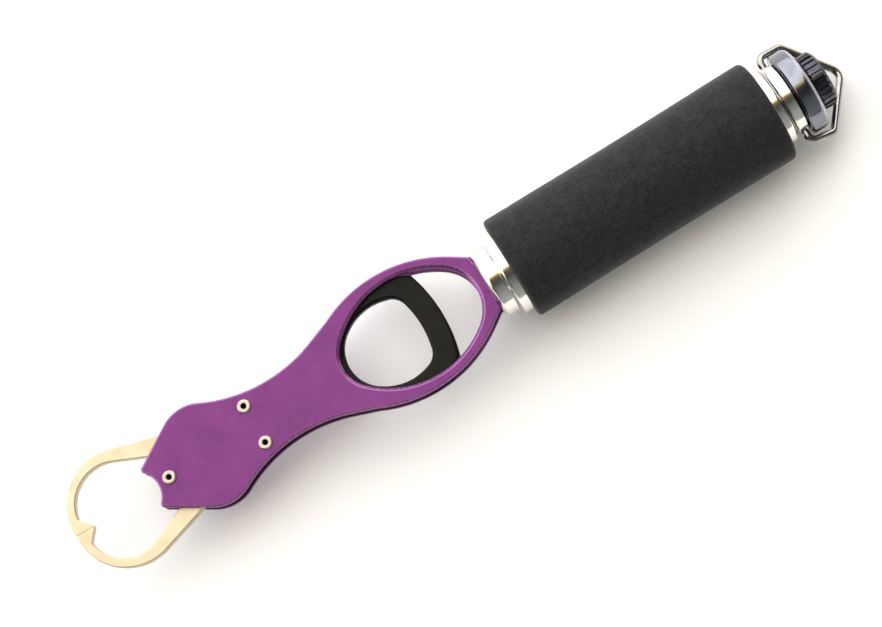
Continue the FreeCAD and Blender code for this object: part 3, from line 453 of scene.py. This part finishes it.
def rounded(corners, steps=6):
    """A profile through (along, radius, rounding) corners, rounded off between its two ends."""
    profile = []
    for index, (along, across, rounding) in enumerate(corners):
        here = Vector((along, across))
        if rounding <= 0 or index in (0, len(corners) - 1):
            profile.append(here)
            continue
        back = (Vector(corners[index - 1][:2]) - here).normalized()
        ahead = (Vector(corners[index + 1][:2]) - here).normalized()
        half = back.angle(ahead) / 2
        reach = rounding / math.tan(half)
        centre = here + (back + ahead).normalized() * (rounding / math.sin(half))
        first = here + back * reach - centre
        last = here + ahead * reach - centre
        sweep = first.angle_signed(last)
        for step in range(steps + 1):
            spoke = first.copy()
            spoke.rotate(Matrix.Rotation(-sweep * step / steps, 2))
            profile.append(centre + spoke)
    return profile


def turned(name, profile, around=160, axis="X", centre=(0.0, 0.0, 0.0), ripple=None):
    """A solid turned from a profile of (along, radius), in millimetres.

    A profile that starts and ends on the axis closes itself; any other profile is a closed ring.
    ripple(along, radius, angle) may change the radius.
    """
    points = []
    rows = []
    for along, radius in profile:
        if radius < ON_AXIS:
            rows.append([len(points)])
            points.append((along, 0.0, 0.0))
            continue
        row = []
        for spoke in range(around):
            angle = TURN * spoke / around
            reach = radius if ripple is None else ripple(along, radius, angle)
            row.append(len(points))
            points.append((along, reach * math.cos(angle), reach * math.sin(angle)))
        rows.append(row)
    on_axis = profile[0][1] < ON_AXIS
    pairs = list(zip(rows, rows[1:]))
    if not on_axis:
        pairs.append((rows[-1], rows[0]))
    faces = []
    for first, second in pairs:
        for spoke in range(around):
            after = (spoke + 1) % around
            if len(first) == 1:
                faces.append((first[0], second[after], second[spoke]))
            elif len(second) == 1:
                faces.append((first[spoke], first[after], second[0]))
            else:
                faces.append((first[spoke], first[after], second[after], second[spoke]))
    if axis == "Z":
        points = [(y, z, x) for x, y, z in points]
    points = [(Vector(point) + Vector(centre)) * MM for point in points]
    return mesh_of(name, points, faces)


def tube_along(name, path, radius, sides=10):
    """A round wire along a path of points, all in millimetres, closed at both ends."""
    path = [Vector(point) for point in path]
    up = Vector((0, 0, 1))
    points = []
    for index, here in enumerate(path):
        ahead = path[min(index + 1, len(path) - 1)] - path[max(index - 1, 0)]
        ahead.normalize()
        up = (up - ahead * up.dot(ahead)).normalized()
        side = ahead.cross(up)
        for spoke in range(sides):
            angle = TURN * spoke / sides
            points.append((here + (up * math.cos(angle) + side * math.sin(angle)) * radius) * MM)
    faces = []
    for ring in range(len(path) - 1):
        for spoke in range(sides):
            after = (spoke + 1) % sides
            low = ring * sides
            faces.append((low + spoke, low + after, low + sides + after, low + sides + spoke))
    last = (len(path) - 1) * sides
    faces.append(tuple(reversed(range(sides))))
    faces.append(tuple(range(last, last + sides)))
    return mesh_of(name, points, faces, 60)


# ---- where things are ---------------------------------------------------------------------------

def span(node):
    """A node's lowest and highest corner, in millimetres."""
    low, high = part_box(node)
    return low / MM, high / MM


# where the jaws' pivot is along the handle
PIVOT = (sum(corner.x for corner in span("jaw_pivot_rivet"))) / 2
# an oval just outside the window's rim
OVAL_MIDDLE = -73.05
OVAL_HALF_LENGTH = 23.2
OVAL_HALF_WIDTH = 16.4
# faces this close to a rivet's axis line its bore and get its painted shade
BORE_LINING = 0.80


# ---- head: plates, rivets, jaws -----------------------------------------------------------------

# how far a face's normal points up or down: under WALL_LEAN it is a wall, over FLAT_LEAN it is flat
WALL_LEAN = 0.1
FLAT_LEAN = 0.98
# how near a plate's outer face an edge is rounded, and how near a rivet's axis it isn't
ON_FACE = 0.05
RIVET_HOLE = 2.0
# the plates' second material, a lighter purple painted on the bevels as a highlight, and their third,
# a darker purple painted on the walls as shade
LIT_BEVEL_SLOT = 1
SHADED_WALL_SLOT = 2


def side_plates():
    """Rounded outer edges; the bevels get a glossier, lighter purple whose lightness is a painted
    highlight, and the walls a darker purple that is painted shade.
    """
    for node in ("side_plate_top", "side_plate_bottom"):
        low, high = span(node)
        outer = high.z if node == "side_plate_top" else low.z

        def weight(edge):
            middle = (edge.verts[0].co + edge.verts[1].co) / 2 / MM
            if near_rivet(middle) or abs(middle.z - outer) > ON_FACE:
                return 0.0
            return WINDOW_SHARE if in_window(middle) else 1.0

        plate = softened(node, "head", "anodised_plate", PLATE_ROUNDING, 3, weight)
        plate.data.materials.append(FINISHES["plate_edge_painted_highlight"])
        plate.data.materials.append(FINISHES["plate_wall_painted_shade"])
        for face in plate.data.polygons:
            lean = abs(face.normal.z)
            # flat faces keep the face purple; bevels get the lighter purple painted as a highlight,
            # walls the darker purple painted as shade
            if lean < FLAT_LEAN:
                face.material_index = LIT_BEVEL_SLOT if lean > WALL_LEAN else SHADED_WALL_SLOT
        plate.modifiers["rounded_edges"].material = LIT_BEVEL_SLOT


def near_rivet(point):
    """Whether a point lies on the rim of one of the three rivet holes."""
    for centre in rivet_centres():
        if math.hypot(point.x - centre[0], point.y - centre[1]) < RIVET_HOLE:
            return True
    return False


def rivet_centres():
    low, high = span("rear_rivets")
    along = (low.x + high.x) / 2
    head = (high.x - low.x) / 2
    side = high.y - head
    return [(PIVOT, 0.0), (along, side), (along, -side)]


def in_window(point):
    """Whether a point lies on the oval window's rim, which is well inside the plate's outline."""
    along = (point.x - OVAL_MIDDLE) / OVAL_HALF_LENGTH
    across = point.y / OVAL_HALF_WIDTH
    return math.hypot(along, across) < 1.0


def rivet(name, centre, node):
    """A hollow rivet with both ends rolled over into a round ring."""
    top = span(node)[1].z
    head = 1.95
    head_height = 0.5
    bore = 0.72
    flare = 0.05
    flare_start = 0.2
    shank = 1.38
    face = top - head_height
    half = [
        (0.0, bore, 0),
        (face - flare_start, bore, 0),
        (top, bore + flare, 0.22),
        (top, head, 0.42),
        (face, head, 0.05),
        (face, shank, 0),
        (0.0, shank, 0),
    ]
    upper = rounded(half)
    lower = [Vector((-point.x, point.y)) for point in reversed(upper)]
    profile = upper[:-1] + lower[:-1]
    return turned(name, profile, 96, "Z", (centre[0], centre[1], 0.0))


def rivets():
    centres = rivet_centres()
    names = ("pivot_rivet_rolled", "rear_rivet_rolled_1", "rear_rivet_rolled_2")
    nodes = ("jaw_pivot_rivet", "rear_rivets", "rear_rivets")
    for name, centre, node in zip(names, centres, nodes):
        piece = on_body(rivet(name, centre, node), "head", [node], "rivet_steel")
        paint_bore_shade(piece, centre)


def paint_bore_shade(piece, centre):
    """The painted shade on the faces that line the rivet's bore."""
    piece.data.materials.append(FINISHES["rivet_bore"])
    for face in piece.data.polygons:
        spot = face.center / MM
        if math.hypot(spot.x - centre[0], spot.y - centre[1]) < BORE_LINING:
            face.material_index = 1


def jaws():
    for node in ("upper_jaw", "lower_jaw"):
        softened(node, node, "jaw_steel", JAW_ROUNDING, 2)


def trigger():
    softened("trigger", "trigger", "trigger_plastic", TRIGGER_ROUNDING, 5, clamp=False)


# ---- ferrules, disc and knob --------------------------------------------------------------------

def ferrules():
    softened("bolster", "head", "polished_steel", BOLSTER_ROUNDING, 3)
    softened("front_collar", "handle", "polished_steel", COLLAR_ROUNDING, 3)
    softened("rear_collar", "handle", "polished_steel", COLLAR_ROUNDING, 3)
    softened("lanyard_collar", "lanyard_swivel", "polished_steel", RING_ROUNDING, 3)


def end_disc():
    """The mirror disc: a chamfered front edge, a well rounded rear one and a shallow recess."""
    low, high = span("end_disc")
    rim = high.y
    bore = span("spindle")[1].y
    chamfer = 0.55
    draft = 0.05
    shoulder = 3.4
    recess = 3.9
    recess_depth = 0.25
    highlight_depth = 1.2
    highlight_width = 2.2
    profile = rounded([
        (low.x, bore, 0),
        (low.x, rim - chamfer, 0.25),
        (low.x + chamfer, rim, 0.3),
        (high.x - draft, rim, 1.95),
        (high.x, rim - shoulder, 0.6),
        (high.x - recess_depth, rim - recess, 0.2),
        (high.x - recess_depth, bore, 0),
    ], 10)
    disc = turned("end_disc_turned", profile, 192)
    on_body(disc, "head", ["end_disc"], "dark_chrome")
    disc.data.materials.append(FINISHES["disc_rim"])
    # the rear rounding gets the paler chrome, a painted highlight
    for face in disc.data.polygons:
        spot = face.center / MM
        pale = spot.x > high.x - highlight_depth and math.hypot(spot.y, spot.z) > rim - highlight_width
        face.material_index = 1 if pale else 0


KNOB_RIBS = 26


def end_knob():
    """A thumb knob with square-shouldered ribs and a shallow dish in its end."""
    low, high = span("end_knob")
    rim = high.y
    bore = 2.05
    end_wall = 1.2
    floor = high.x - end_wall
    facets = 16
    front_edge = 0.35
    rear_edge = 1.0
    dish_edge = 2.2
    dish_foot = 2.8
    dish = 0.3
    longest_span = 0.35
    corners = [
        (floor, 0.0, 0),
        (floor, bore, 0.05),
        (low.x, bore, 0.1),
        (low.x, rim - front_edge, 0.15),
        (low.x + front_edge, rim, 0.2),
        (high.x - rear_edge, rim, 0.3),
        (high.x, rim - rear_edge, 0.3),
        (high.x, rim - dish_edge, 0.2),
        (high.x - dish, rim - dish_foot, 0.25),
        (high.x - dish, 0.0, 0),
    ]
    profile = subdivided(rounded(corners, 5), longest_span)
    knob = turned("end_knob_ribbed", profile, KNOB_RIBS * facets, ripple=grooves(low, high))
    on_body(knob, "end_knob", ["end_knob"], "dark_knob")


def grooves(low, high):
    """A ripple that cuts lengthwise grooves between the knob's two rims."""
    skin = 0.45
    groove = 0.5
    flank = 0.35
    front_start = 0.25
    front_full = 0.6
    rear_full = 1.1
    rear_end = 0.55

    def ripple(along, radius, angle):
        ribbed = smooth_step(low.x + front_start, low.x + front_full, along)
        ribbed *= 1 - smooth_step(high.x - rear_full, high.x - rear_end, along)
        if radius < high.y - skin:
            return radius
        wave = math.cos(angle * KNOB_RIBS)
        rib = smooth_step(-flank, flank, wave)
        return radius - groove * (1 - rib) * ribbed

    return ripple


def smooth_step(start, end, value):
    share = min(1.0, max(0.0, (value - start) / (end - start)))
    return share * share * (3 - 2 * share)


def subdivided(profile, longest):
    """The profile with no span longer than that, in millimetres."""
    finer = [profile[0]]
    for point in profile[1:]:
        gap = (point - finer[-1]).length
        steps = max(1, math.ceil(gap / longest))
        start = finer[-1].copy()
        for step in range(1, steps + 1):
            finer.append(start.lerp(point, step / steps))
    return finer


# ---- foam grip ----------------------------------------------------------------------------------

# this close to the foam's bore nothing is shaped or roughened
BORE_SKIN = 0.6
# how deep the foam's unevenness is and how wide its broadest hills are
ROUGHNESS_DEPTH = 0.035
ROUGHNESS_SIZE = 1.1
ROUGHNESS_SEED = 7
# its layers of waves, how many waves each has, and how much finer and weaker each next layer is
LAYERS = 5
WAVES = 24
FINER = 0.6
WEAKER = 0.7
# brings the layers' sum up to the depth, and the share of a hill that is left standing
GAIN = 2.2
HILL_SHARE = 0.3


def foam_grip():
    """Ground foam: a slight waist, a faint crease ring, rounded rims and an uneven skin."""
    low, high = span("foam_grip")
    radius = high.y
    bore = span("handle_tube")[1].y
    waist = 0.22
    waist_power = 1.5
    crease_at = low.x + 7.8
    crease_depth = 0.24
    crease_width = 0.40
    crease_mean = 0.6
    crease_swing = 0.4
    deepest_at = 1.9
    dip = 0.25
    dip_width = 2.2
    inset = 0.02
    longest_span = 0.5
    corners = [
        (low.x + dip, bore, 0),
        (low.x + inset, bore + dip_width, 0.5),
        (low.x, radius - inset, 1.15),
        (high.x, radius - inset, 1.55),
        (high.x - inset, bore + dip_width, 0.5),
        (high.x - dip, bore, 0),
    ]
    profile = subdivided(rounded(corners, 8), longest_span)

    def ripple(along, reach, angle):
        if reach < bore + BORE_SKIN:
            return reach
        share = min(1.0, max(0.0, (along - low.x) / (high.x - low.x)))
        narrow = waist * math.sin(math.pi * share) ** waist_power
        crease = crease_depth * math.exp(-((along - crease_at) / crease_width) ** 2)
        crease *= crease_mean + crease_swing * math.cos(angle - deepest_at)
        return reach - narrow - crease

    grip = turned("foam_grip_ground", profile, 288, ripple=ripple)
    roughen(grip, ROUGHNESS_DEPTH, ROUGHNESS_SIZE, bore)
    on_body(grip, "handle", ["foam_grip"], "foam")


def roughen(piece, depth, size, inner):
    """Seeded hollows about depth millimetres deep, and lower hills, on all but the bore."""
    rng = np.random.default_rng(ROUGHNESS_SEED)
    count = len(piece.data.vertices)
    spots = np.zeros(count * 3)
    piece.data.vertices.foreach_get("co", spots)
    spots = spots.reshape(-1, 3) / MM
    reach = np.hypot(spots[:, 1], spots[:, 2])
    relief = np.zeros(count)
    for layer in range(LAYERS):
        waves = rng.normal(size=(WAVES, 3)) / (size * FINER ** layer)
        shift = rng.uniform(0, TURN, WAVES)
        relief += WEAKER ** layer * np.sin(spots @ waves.T + shift).mean(axis=1)
    relief *= depth * GAIN
    relief = np.minimum(relief, 0.0) + np.maximum(relief, 0.0) * HILL_SHARE
    relief[reach < inner + BORE_SKIN] = 0.0
    grown = (reach + relief) / np.maximum(reach, ON_AXIS)
    spots[:, 1] *= grown
    spots[:, 2] *= grown
    piece.data.vertices.foreach_set("co", (spots * MM).ravel())
    piece.data.update()


# ---- return springs -----------------------------------------------------------------------------

# the wire's radius, and how far in from an end its straight part starts and stops
WIRE = 0.22
TIP = 0.1
NECK = 0.8
# how far in from an end the coils lie, how far past that they run, and how many there are
HOOK = 2.0
OVERRUN = 0.5
TURNS = 18
FACETS = 20
# the share of the coils' length that widens at each end, and the width that it starts from
EASING = 0.03
NARROWEST = 0.1


def return_springs():
    """Coiled extension springs that stretch from the head to the trigger."""
    for node in ("return_spring_upper", "return_spring_lower"):
        low, high = span(node)
        axis = (low.y + high.y) / 2
        coil = (high.y - low.y) / 2 - WIRE
        spring = tube_along(node + "_coiled", coil_path(low.x, high.x, axis, coil), WIRE, 8)
        standing_for(spring, [node], "spring_steel")
        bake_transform(spring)


def coil_path(front, rear, axis, coil):
    """A spring's wire: coils of that radius about the axis, with a straight part at each end."""
    start = front + HOOK
    end = rear - HOOK
    steps = TURNS * FACETS
    path = [(front + TIP, axis, 0.0), (front + NECK, axis, 0.0)]
    for step in range(steps + 1):
        share = step / steps
        angle = TURN * TURNS * share
        ease = smooth_step(0.0, EASING, share) * (1 - smooth_step(1 - EASING, 1.0, share))
        reach = coil * (NARROWEST + (1 - NARROWEST) * ease)
        along = start - OVERRUN + (end - start + 2 * OVERRUN) * share
        path.append((along, axis + reach * math.cos(angle), reach * math.sin(angle)))
    return path + [(rear - NECK, axis, 0.0), (rear - TIP, axis, 0.0)]


# ---- nodes that keep their own shape ------------------------------------------------------------

def carried_over():
    """Every node that is still shown gets its slot's finish."""
    slots = {part["node"]: part["material_slot"] for part in frame["record"]["subparts"]}
    for node, piece in frame["nodes"].items():
        if piece.hide_render:
            continue
        piece.data.materials.clear()
        piece.data.materials.append(FINISHES[slots[node]])


# ---- stage --------------------------------------------------------------------------------------

def stage_floor():
    """A pale sheet under the grip, at the level that the foam lies on."""
    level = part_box("foam_grip")[0].z
    bpy.ops.mesh.primitive_plane_add(size=FLOOR_WIDTH, location=(0.0, 0.0, level))
    floor = bpy.context.object
    floor.name = "floor"
    finish = Finish("pale_floor", (0.88, 0.88, 0.88), roughness=0.75)
    finish.shader.inputs["Specular IOR Level"].default_value = 0.2
    finish.colors(finish.noise(60.0, 2.0), (0.87, 0.87, 0.872), (0.89, 0.89, 0.89))
    floor.data.materials.append(finish.material)
    floor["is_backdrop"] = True


def studio_light():
    """A wide white window on the +Y side, and a dim room with warm edges on the other."""
    world = bpy.data.worlds.new("studio")
    bpy.context.scene.world = world
    world.use_nodes = True
    nodes = world.node_tree.nodes
    links = world.node_tree.links
    place = nodes.new("ShaderNodeTexCoord")
    toward = nodes.new("ShaderNodeVectorMath")
    toward.operation = "DOT_PRODUCT"
    toward.inputs[1].default_value = WINDOW
    links.new(place.outputs["Generated"], toward.inputs[0])
    share = nodes.new("ShaderNodeMapRange")
    share.inputs["From Min"].default_value = -1.0
    share.inputs["From Max"].default_value = 1.0
    links.new(toward.outputs["Value"], share.inputs["Value"])
    ramp = nodes.new("ShaderNodeValToRGB")
    links.new(share.outputs["Result"], ramp.inputs["Fac"])
    stops = ramp.color_ramp.elements
    stops[0].position = ROOM[0][0]
    stops[0].color = (*ROOM[0][1], 1.0)
    stops[1].position = ROOM[-1][0]
    stops[1].color = (*ROOM[-1][1], 1.0)
    for position, color in ROOM[1:-1]:
        stops.new(position).color = (*color, 1.0)
    background = nodes["Background"]
    background.inputs["Strength"].default_value = WINDOW_STRENGTH
    links.new(ramp.outputs["Color"], background.inputs["Color"])


def fill_light():
    """A big soft panel overhead that lifts the shadows and isn't seen in polished metal."""
    data = bpy.data.lights.new("fill", "AREA")
    data.shape = "DISK"
    data.size = FILL_WIDTH
    data.energy = FILL_POWER
    data.color = FILL_COLOR
    light = bpy.data.objects.new("fill", data)
    bpy.context.scene.collection.objects.link(light)
    light.location = FILL_PLACE
    light.visible_glossy = False
    light.rotation_euler = (-Vector(FILL_PLACE)).to_track_quat("-Z", "Y").to_euler()


def camera():
    """Looks down on the top plate, a little from the lower jaw's side, handle to the upper right."""
    target = Vector(CAMERA_TARGET)
    back = Vector(CAMERA_BACK).normalized()
    lifted = Vector(CAMERA_UP)
    data = bpy.data.cameras.new("camera")
    data.sensor_width = CAMERA_SENSOR
    data.lens = CAMERA_LENS
    data.clip_start = 0.01
    eye = bpy.data.objects.new("camera", data)
    bpy.context.scene.collection.objects.link(eye)
    up = (lifted - back * lifted.dot(back)).normalized()
    side = up.cross(back)
    turn = Matrix((side, up, back)).transposed()
    eye.matrix_world = Matrix.Translation(target + back * CAMERA_DISTANCE) @ turn.to_4x4()
    bpy.context.scene.camera = eye


def view_settings():
    bpy.context.scene.view_settings.view_transform = "Standard"


camera()
studio_light()
fill_light()
view_settings()
side_plates()
rivets()
jaws()
trigger()
ferrules()
end_disc()
end_knob()
foam_grip()
return_springs()
carried_over()
stage_floor()

boxes = {"cad": CAD_BOX, "visual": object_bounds()}
{key: [list(corner) for corner in box] for key, box in boxes.items()}
